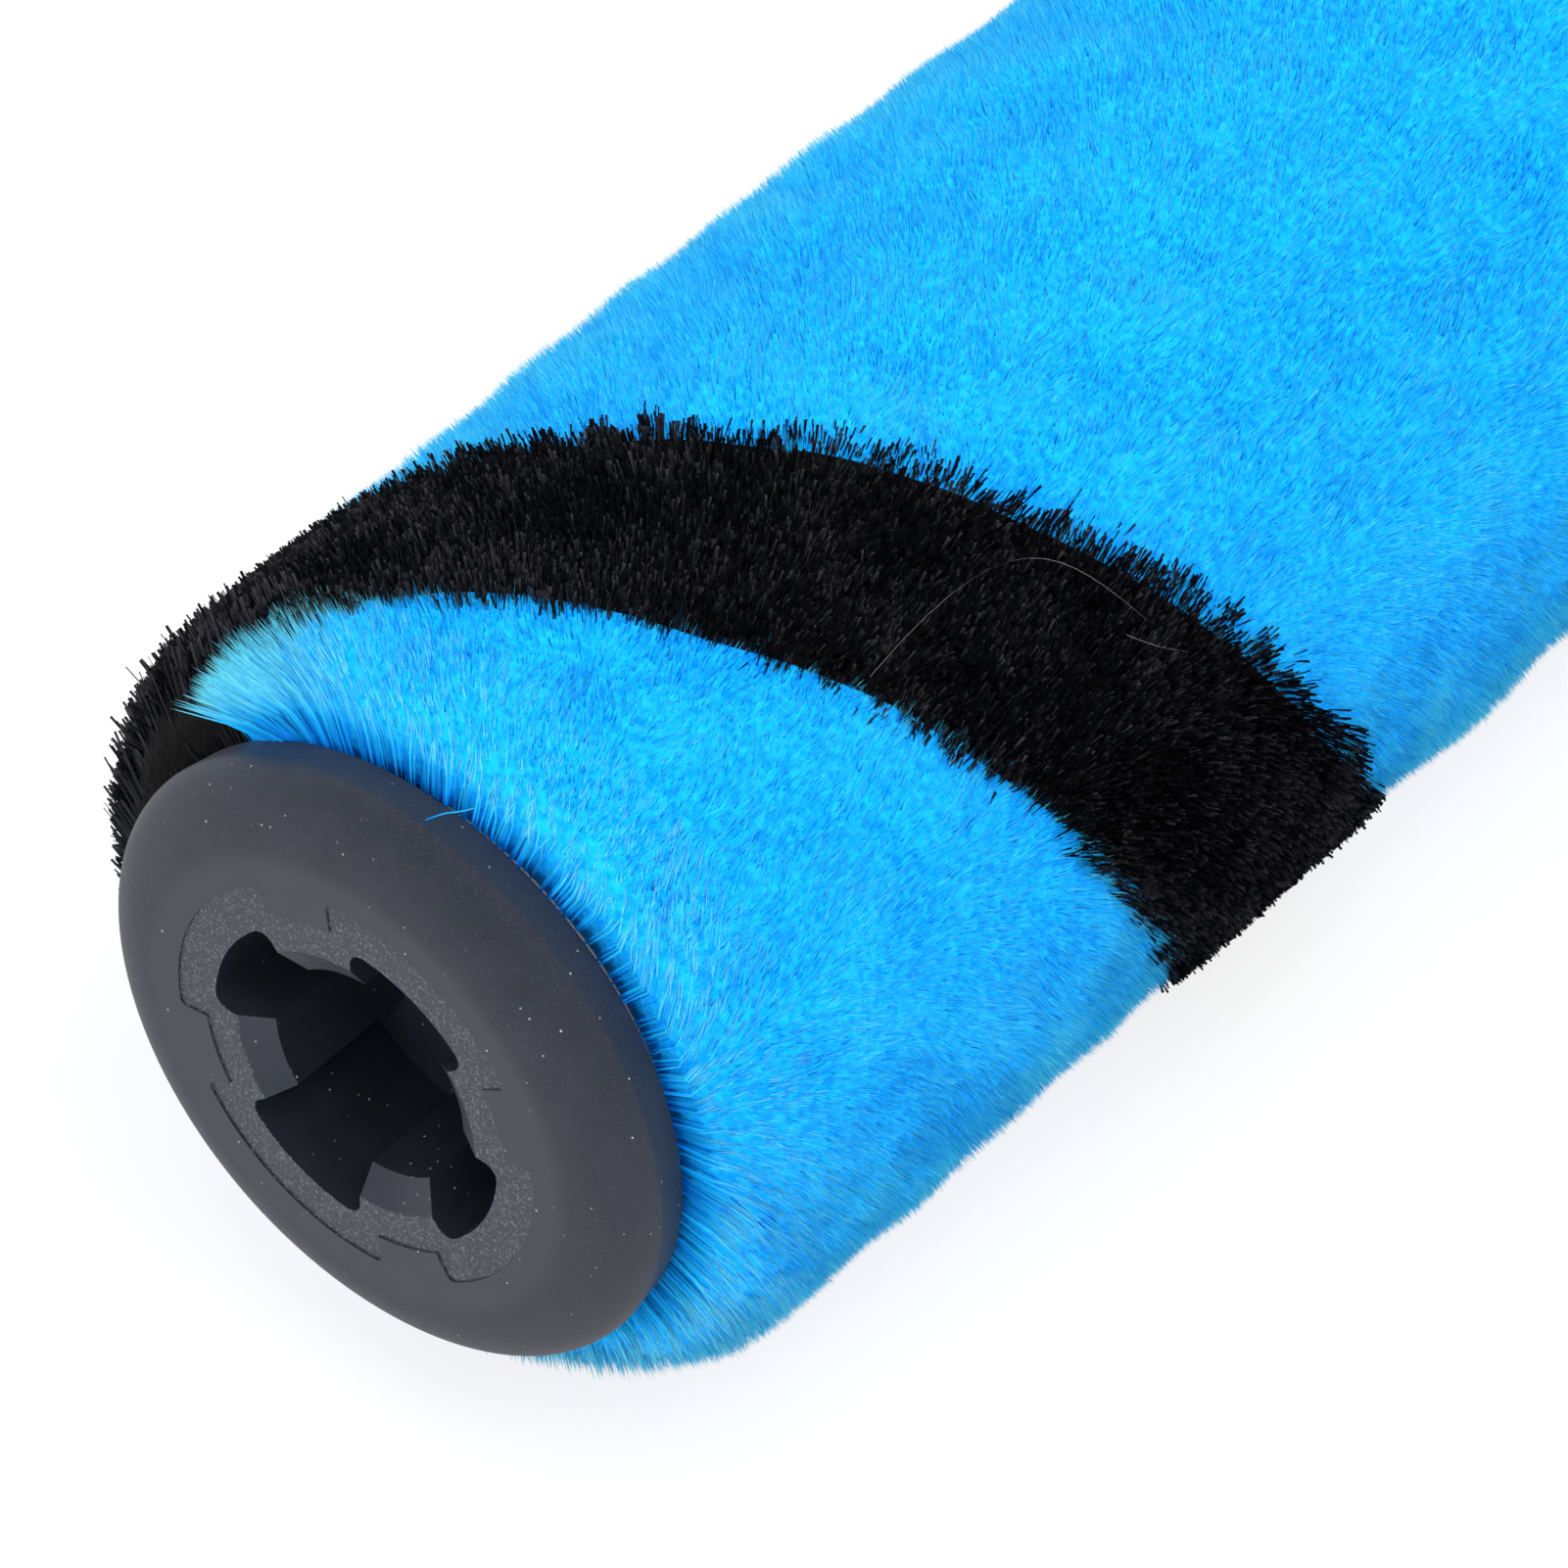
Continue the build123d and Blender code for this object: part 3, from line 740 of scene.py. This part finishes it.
def steel_material(name, colour, roughness):
    """Turned steel: fine rings round the axis, and faint clouds in its gloss."""
    material, tree, output = new_material(name)
    place, x, distance = roller_place(tree)
    rings_at = node(tree, "ShaderNodeCombineXYZ", None, X=x, Y=distance).outputs[0]
    rings = noise(tree, rings_at, 0.06 * MM, 2.0)
    cloud = noise(tree, place, 2 * MM, 3.0)
    tint = mix_colour(tree, rings, tuple(0.82 * c for c in colour), colour)
    bump = node(tree, "ShaderNodeBump", None, Strength=0.2, Distance=0.01 * MM, Height=rings)
    gloss = math_node(tree, "ADD", roughness, math_node(tree, "MULTIPLY", cloud, 0.12))
    surface = node(
        tree, "ShaderNodeBsdfPrincipled", None,
        **{"Base Color": tint, "Roughness": gloss, "Metallic": 1.0, "Normal": bump.outputs["Normal"]},
    )
    tree.links.new(surface.outputs[0], output.inputs["Surface"])
    return material


def felt_material():
    """Grey wool felt: matted fibres with a soft sheen."""
    material, tree, output = new_material("grey_felt")
    place = node(tree, "ShaderNodeTexCoord").outputs["Object"]
    stretched = node(tree, "ShaderNodeMapping", None, Vector=place)
    stretched.inputs["Scale"].default_value = (1.0, 0.35, 1.0)
    fibres = noise(tree, stretched.outputs[0], 0.15 * MM, 5.0)
    tint = ramp(tree, fibres, [(0.3, (0.22, 0.21, 0.19)), (0.7, (0.55, 0.53, 0.49))])
    bump = node(tree, "ShaderNodeBump", None, Strength=0.8, Distance=0.15 * MM, Height=fibres)
    surface = node(
        tree, "ShaderNodeBsdfPrincipled", None,
        **{"Base Color": tint, "Roughness": 0.95, "Normal": bump.outputs["Normal"]},
    )
    surface.inputs["Sheen Weight"].default_value = 0.4
    tree.links.new(surface.outputs[0], output.inputs["Surface"])
    return material


def paint(material, *names):
    """Gives nodes of the solids this material."""
    for name in names:
        slots = nodes[name].data.materials
        slots.clear()
        slots.append(material)


add_camera()
add_floor()
add_light()

plush = fibre_material(
    "blue_plush_fibre",
    root=(0.0, 0.26, 0.80), middle=(0.02, 0.62, 1.0), tip=(0.09, 0.78, 1.0), tip_start=0.5,
    tone_low=(0.4, 0.6, 0.85), tone_high=(2.6, 1.25, 1.0), gloss=0.0, translucency=0.5,
)
# The end fans' blue has lighter, bluer roots than the coat's: painted light that stands for light scattered
# through the pile by the caps
plush_long = fibre_material(
    "blue_plush_long_fibre",
    root=(0.0, 0.24, 0.95), middle=(0.015, 0.52, 1.0), tip=(0.16, 0.80, 1.0), tip_start=0.5,
    tone_low=(0.4, 0.6, 0.9), tone_high=(2.0, 1.2, 1.0), gloss=0.0, translucency=0.35,
)
# The bristles' highest tones paint grey-brown glints of sheen on a few fibres
bristle = fibre_material(
    "black_bristle_fibre",
    root=(0.004, 0.005, 0.007), middle=(0.007, 0.008, 0.011), tip=(0.010, 0.011, 0.014), tip_start=0.9,
    tone_low=(0.4, 0.4, 0.4), tone_high=(7.0, 6.2, 5.4), gloss=0.08, translucency=0.5,
)
# The plush body's blue is the pile's own colour, lightened with painted light that stands for light
# scattered through the pile
plush_under = pile_body_material("blue_plush_depth", (0.0, 0.28, 0.95), (0.01, 0.50, 1.0))
bristle_under = pile_body_material("black_bristle_depth", (0.002, 0.002, 0.002), (0.006, 0.006, 0.006))

body_width = BRISTLE_WIDTH - 2 * BAND_LAP
add_pile_body(
    "plush_body", "plush_strip", band_middle=WINDING_LEAD / 2, width=WINDING_LEAD - body_width,
    top=plush_top, columns=49, material=plush_under,
)
add_pile_body(
    "bristle_body", "bristle_strip", band_middle=0.0, width=body_width,
    top=bristle_top, columns=17, material=bristle_under,
)

coat_x, coat_turn = scatter(COAT_COUNT, PILE_START + COAT_INSET, PILE_END - COAT_INSET)
black = in_bristle_band(coat_x, coat_turn)
add_coat(
    "plush_fibres", coat_x[~black], coat_turn[~black], plush_top, PLUSH_DEPTH, PLUSH_THICK, PLUSH_TUFT,
    waver=0.12, edge_lean=-0.2, uneven=0.12 * MM, spread=0.28, material=plush, slot="blue_plush", pieces=4,
)
add_coat(
    "bristle_fibres", coat_x[black], coat_turn[black], bristle_top,
    BRISTLE_DEPTH, BRISTLE_THICK, BRISTLE_TUFT, waver=0.05, edge_lean=0.15, uneven=0.17 * MM, spread=0.28,
    material=bristle, slot="black_bristle", pieces=1,
)
add_fan("drive", PILE_START, 1)
add_fan("idle", PILE_END, -1)

lint = fibre_material(
    "grey_lint",
    root=(0.3, 0.28, 0.25), middle=(0.35, 0.33, 0.3), tip=(0.3, 0.28, 0.25), tip_start=0.5,
    tone_low=(0.8, 0.8, 0.8), tone_high=(1.1, 1.1, 1.1), gloss=0.3, translucency=0.2,
)
lint_height = BRISTLE_RADIUS + 0.3 * MM
for lint_name, lint_line in (
    ("lint_long", [(25, 126), (40, 121), (40, 130), (42.4, 143)]),
    ("lint_short", [(40.6, 142), (41.5, 145), (43, 147), (43.9, 149)]),
):
    add_stray(lint_name, lint_line, lint_height, width=0.07 * MM, tone=0.5, material=lint)

stray_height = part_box("drive_end_cap")[1].y + 0.35 * MM
stray_line = [(3.1, 99), (4.2, 101), (5.2, 101), (6.3, 104)]
add_stray(
    "stray_fibre", stray_line, stray_height, width=0.12 * MM, tone=0.9, material=plush,
)

paint(cap_material(), "drive_end_cap", "idle_end_cap")
paint(plastic_material("grey_tube", (0.2, 0.2, 0.21), 0.45, 0.2 * MM), "core_tube")
paint(plastic_material("charcoal_holder", (0.03, 0.03, 0.034), 0.42, 0.12 * MM), "bearing_holder")
paint(plastic_material("amber_cage", (0.5, 0.42, 0.3), 0.4, 0.1 * MM), "bearing_cage")
paint(steel_material("axle_steel", (0.6, 0.6, 0.6), 0.28), "axle_pin", "spacer_washer", "retaining_clip")
paint(
    steel_material("bearing_steel", (0.7, 0.7, 0.72), 0.14),
    "bearing_inner_ring", "bearing_outer_ring", "bearing_balls",
    "bearing_inner_shield", "bearing_outer_shield",
)
paint(felt_material(), "felt_seal")
